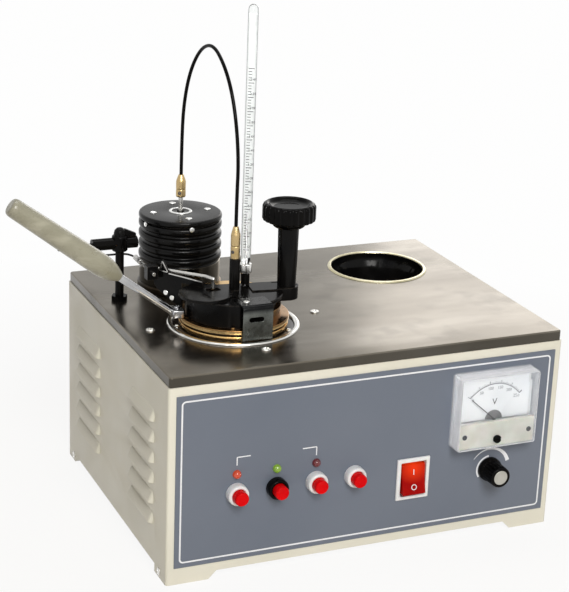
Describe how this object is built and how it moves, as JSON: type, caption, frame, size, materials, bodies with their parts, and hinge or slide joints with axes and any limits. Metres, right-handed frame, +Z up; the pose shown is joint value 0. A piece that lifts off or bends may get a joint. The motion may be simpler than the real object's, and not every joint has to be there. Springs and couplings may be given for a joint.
{
  "type": "flash point tester",
  "caption": "Bench flash point tester: sheet casing with a front control panel, closed test cup with stirrer and thermometer, ribbed motor and cooling well.",
  "frame": {"origin": "middle of the whole object's footprint, on the bench", "axes": "+X to the right along the front panel, +Y to the back, +Z up"},
  "size_m": [0.3844, 0.2666, 0.378],
  "materials": {
    "cream_paint": "satin cream",
    "slate_panel": "matt slate overlay",
    "brushed_steel": "brushed",
    "galvanised": "plain grey",
    "screw_steel": "bright",
    "white_plastic": "gloss",
    "red_plastic": "gloss",
    "black_plastic": "gloss",
    "black_metal": "semi-gloss black",
    "clear_plastic": "clear",
    "dial_white": "matt",
    "brass": "turned",
    "iron": "as cast",
    "mineral_wool": "fibrous",
    "rubber": "matt",
    "grip_paint": "worn olive grey",
    "aluminium": "turned",
    "glass": "clear",
    "lens": "gloss"
  },
  "bodies": {
    "casing": {"casing_shell": "cream_paint", "base_plate": "galvanised", "casing_screws": "screw_steel", "front_panel": "slate_panel", "steel_top": "brushed_steel", "button_collars": "white_plastic", "lamps": "lens", "rocker_bezel": "white_plastic", "meter_case": "clear_plastic", "meter_base": "black_plastic", "meter_dial": "dial_white", "potentiometer": "galvanised", "trim_ring": "screw_steel", "stove_plate": "black_metal", "seat_ring": "brass", "cup_gasket": "rubber", "air_bath": "iron", "insulation_jacket": "mineral_wool", "stove_can": "galvanised", "motor_base": "brass", "motor_housing": "black_metal", "motor_screws": "aluminium", "gas_valve": "black_metal", "gas_feed": "brass", "gas_hose": "rubber", "cooling_well": "black_metal", "well_trim": "brass", "fan_frame": "black_plastic", "mains_inlet": "black_plastic", "fuse_holder": "black_plastic", "transformer": "iron"},
    "cup": {"test_cup": "brass", "cup_handle": "brushed_steel", "cup_grip": "grip_paint"},
    "cover": {"cover_body": "black_metal", "thermometer_collar": "screw_steel", "front_clip": "brushed_steel", "cover_screws": "screw_steel", "burner_plate": "black_metal", "burner_bracket": "black_metal", "drive_shaft": "rubber"},
    "thermometer": {"thermometer": "glass"},
    "stirrer": {"stirrer_shaft": "brushed_steel", "stirrer_ferrule": "brass"},
    "coupling": {"shaft_coupling": "brass"},
    "shutter": {"shutter": "brass"},
    "knob": {"knob_spindle": "brushed_steel", "shutter_knob": "black_plastic"},
    "burner": {"burner": "brushed_steel"},
    "motor": {"motor_spindle": "brushed_steel"},
    "valve": {"valve_knob": "black_metal"},
    "button_1": {"button_1": "red_plastic"},
    "button_2": {"button_2": "red_plastic"},
    "button_3": {"button_3": "red_plastic"},
    "button_4": {"button_4": "red_plastic"},
    "rocker": {"rocker_key": "red_plastic"},
    "heat_control": {"heat_knob": "black_plastic"},
    "needle": {"meter_needle": "black_metal"},
    "adjuster": {"zero_adjuster": "black_plastic"},
    "fan": {"fan_rotor": "black_plastic"}
  },
  "joints": [
    {"name": "cup_lift", "type": "slide", "parent": "casing", "child": "cup", "axis": [0, 0, 1], "range_m": [0, 0.075]},
    {"name": "cover_lift", "type": "slide", "parent": "cup", "child": "cover", "axis": [0, 0, 1], "range_m": [0, 0.07]},
    {"name": "thermometer_lift", "type": "slide", "parent": "cover", "child": "thermometer", "axis": [0, 0, 1], "range_m": [0, 0.06]},
    {"name": "motor_spin", "type": "hinge", "parent": "casing", "child": "motor", "pos_m": [-0.03961, 0.0623, 0.18], "axis": [0, 0, 1], "continuous": true},
    {"name": "coupling_spin", "type": "hinge", "parent": "cover", "child": "coupling", "pos_m": [-0.03961, 0.0623, 0.23], "axis": [0, 0, 1], "continuous": true},
    {"name": "stirrer_spin", "type": "hinge", "parent": "cover", "child": "stirrer", "pos_m": [-0.03161, -0.0287, 0.18], "axis": [0, 0, 1], "continuous": true},
    {"name": "knob_turn", "type": "hinge", "parent": "cover", "child": "knob", "pos_m": [0.00639, -0.0337, 0.2], "axis": [0, 0, 1], "range_deg": [0, 90], "stiffness_Nm_per_rad": 0.03},
    {"name": "shutter_turn", "type": "hinge", "parent": "cover", "child": "shutter", "pos_m": [-0.03161, -0.0287, 0.1724], "axis": [0, 0, 1], "range_deg": [-38.41, 0]},
    {"name": "burner_dip", "type": "hinge", "parent": "cover", "child": "burner", "pos_m": [-0.08241, 0.004, 0.185], "axis": [0, 1, 0], "range_deg": [0, 10]},
    {"name": "gas_valve_turn", "type": "hinge", "parent": "casing", "child": "valve", "pos_m": [-0.09351, 0.0421, 0.196], "axis": [0, 0, 1], "range_deg": [0, 90]},
    {"name": "button_1_press", "type": "slide", "parent": "casing", "child": "button_1", "axis": [0, 1, 0], "range_m": [0, 0.003], "stiffness_N_per_m": 300},
    {"name": "button_2_press", "type": "slide", "parent": "casing", "child": "button_2", "axis": [0, 1, 0], "range_m": [0, 0.003], "stiffness_N_per_m": 300},
    {"name": "button_3_press", "type": "slide", "parent": "casing", "child": "button_3", "axis": [0, 1, 0], "range_m": [0, 0.003], "stiffness_N_per_m": 300},
    {"name": "button_4_press", "type": "slide", "parent": "casing", "child": "button_4", "axis": [0, 1, 0], "range_m": [0, 0.003], "stiffness_N_per_m": 300},
    {"name": "rocker_tilt", "type": "hinge", "parent": "casing", "child": "rocker", "pos_m": [0.07369, -0.1117, 0.0539], "axis": [1, 0, 0], "range_deg": [0, 14]},
    {"name": "heat_turn", "type": "hinge", "parent": "casing", "child": "heat_control", "pos_m": [0.13639, -0.1197, 0.052], "axis": [0, 1, 0], "range_deg": [0, 270]},
    {"name": "needle_swing", "type": "hinge", "parent": "casing", "child": "needle", "pos_m": [0.13339, -0.1207, 0.094], "axis": [0, 1, 0], "range_deg": [0, 96], "stiffness_Nm_per_rad": 0.0002},
    {"name": "zero_adjust", "type": "hinge", "parent": "casing", "child": "adjuster", "pos_m": [0.13339, -0.1247, 0.081], "axis": [0, 1, 0], "range_deg": [-45, 45]},
    {"name": "fan_spin", "type": "hinge", "parent": "casing", "child": "fan", "pos_m": [0.12339, 0.0553, 0.072], "axis": [0, 0, 1], "continuous": true}
  ],
  "couplings": [
    {"joint": "coupling_spin", "follows": "motor_spin", "ratio": 1},
    {"joint": "stirrer_spin", "follows": "motor_spin", "ratio": -1},
    {"joint": "shutter_turn", "follows": "knob_turn", "ratio": -0.42666},
    {"joint": "burner_dip", "follows": "knob_turn", "ratio": 0.11111}
  ]
}
